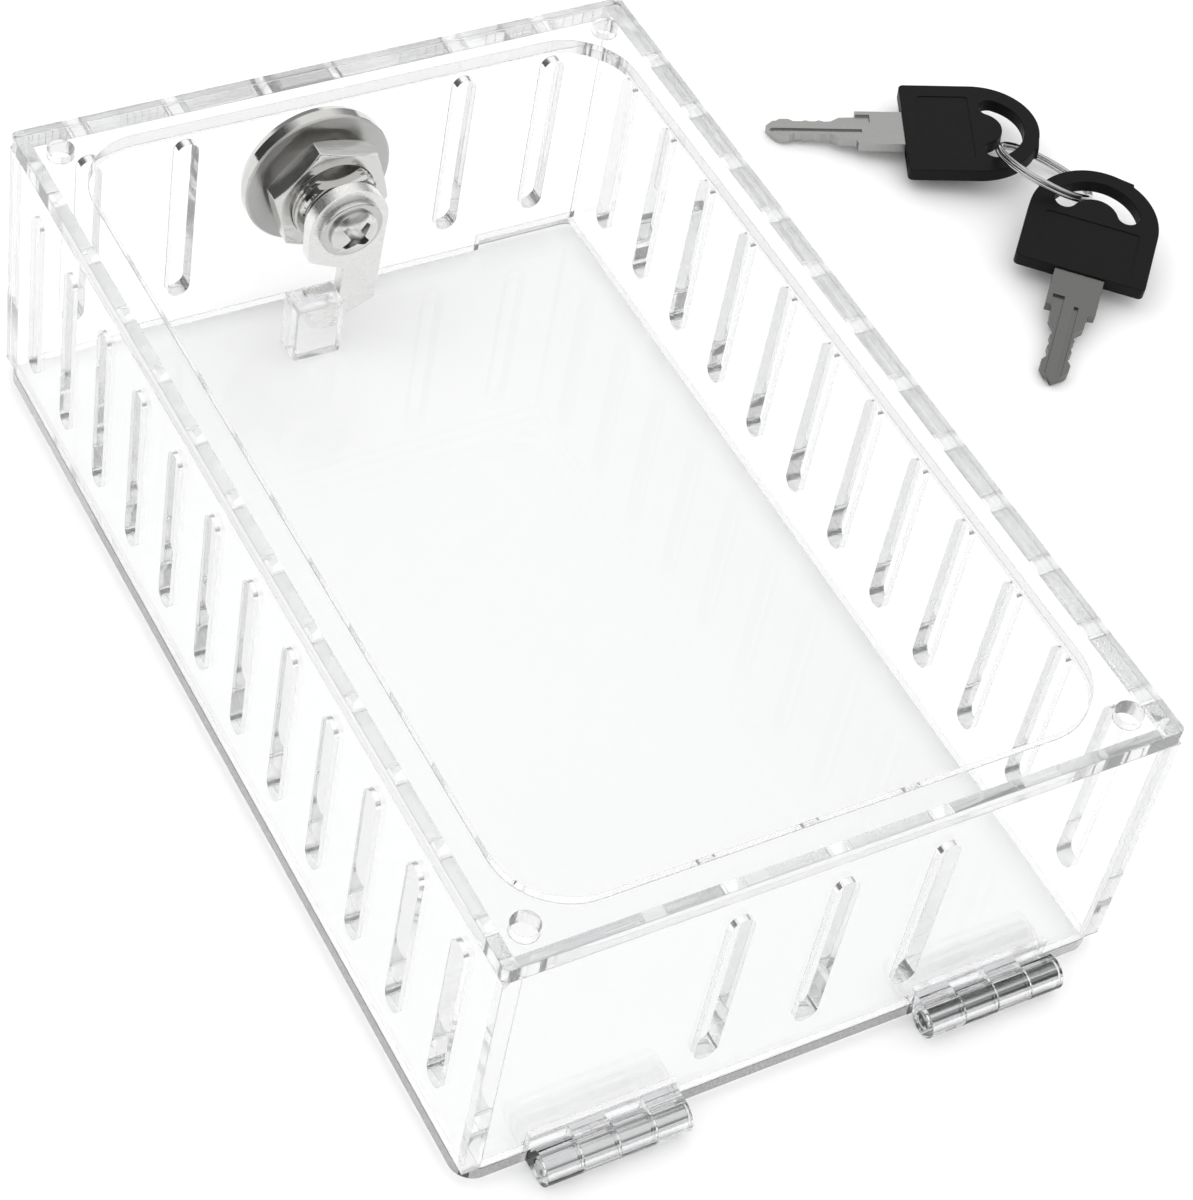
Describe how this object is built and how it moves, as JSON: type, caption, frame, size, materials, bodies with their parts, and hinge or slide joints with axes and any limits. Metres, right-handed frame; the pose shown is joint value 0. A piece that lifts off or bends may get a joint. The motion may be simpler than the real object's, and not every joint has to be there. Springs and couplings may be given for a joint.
{
  "type": "thermostat lock box",
  "caption": "Clear acrylic lock box for a wall thermostat: vented walls, hinged lid with a cam lock, open mounting frame with corner screw holes, and keys on a ring.",
  "frame": {"origin": "centre of the lid's outer face, with the lid closed; the box lies lid down as pictured", "axes": "+Z from the lid towards the wall-mounting frame, +Y from the hinge end towards the lock end, +X across the box towards its finger notch side"},
  "size_m": [0.2211, 0.1991, 0.055],
  "materials": {
    "clear_acrylic": "clear, colourless, polished",
    "nickel_plate": "bright nickel plate",
    "plated_steel": "satin plated sheet",
    "bright_steel_wire": "polished",
    "brass": "stamped",
    "black_plastic": "moulded, satin"
  },
  "bodies": {
    "box": {"mounting_frame": "clear_acrylic", "left_wall": "clear_acrylic", "right_wall": "clear_acrylic", "hinge_end_wall": "clear_acrylic", "lock_end_wall": "clear_acrylic", "left_hinge_wall_leaf": "clear_acrylic", "left_hinge_pin": "bright_steel_wire", "right_hinge_wall_leaf": "clear_acrylic", "right_hinge_pin": "bright_steel_wire", "lock_housing": "nickel_plate", "lock_nut": "nickel_plate"},
    "lid": {"lid": "clear_acrylic", "lid_keeper": "clear_acrylic", "left_hinge_lid_leaf": "clear_acrylic", "right_hinge_lid_leaf": "clear_acrylic"},
    "lock": {"lock_plug": "nickel_plate", "plug_wafers": "brass", "wafer_springs": "bright_steel_wire", "stop_washer": "plated_steel", "cam": "plated_steel", "cam_washer": "nickel_plate", "cam_screw": "nickel_plate"},
    "keys": {"key_1_blade": "plated_steel", "key_1_head": "black_plastic", "key_2_blade": "plated_steel", "key_2_head": "black_plastic", "key_ring": "bright_steel_wire"}
  },
  "joints": [
    {"name": "lid_hinge", "type": "hinge", "parent": "box", "child": "lid", "pos_m": [0, -0.0934, 0.0031], "axis": [-1, 0, 0], "range_deg": [0, 180]},
    {"name": "lock_turn", "type": "hinge", "parent": "box", "child": "lock", "pos_m": [0, 0.08, 0.0295], "axis": [0, -1, 0], "range_deg": [0, 90]},
    {"name": "keys_lift", "type": "slide", "parent": "box", "child": "keys", "axis": [0, 0, 1], "range_m": [0, 0.1]}
  ]
}
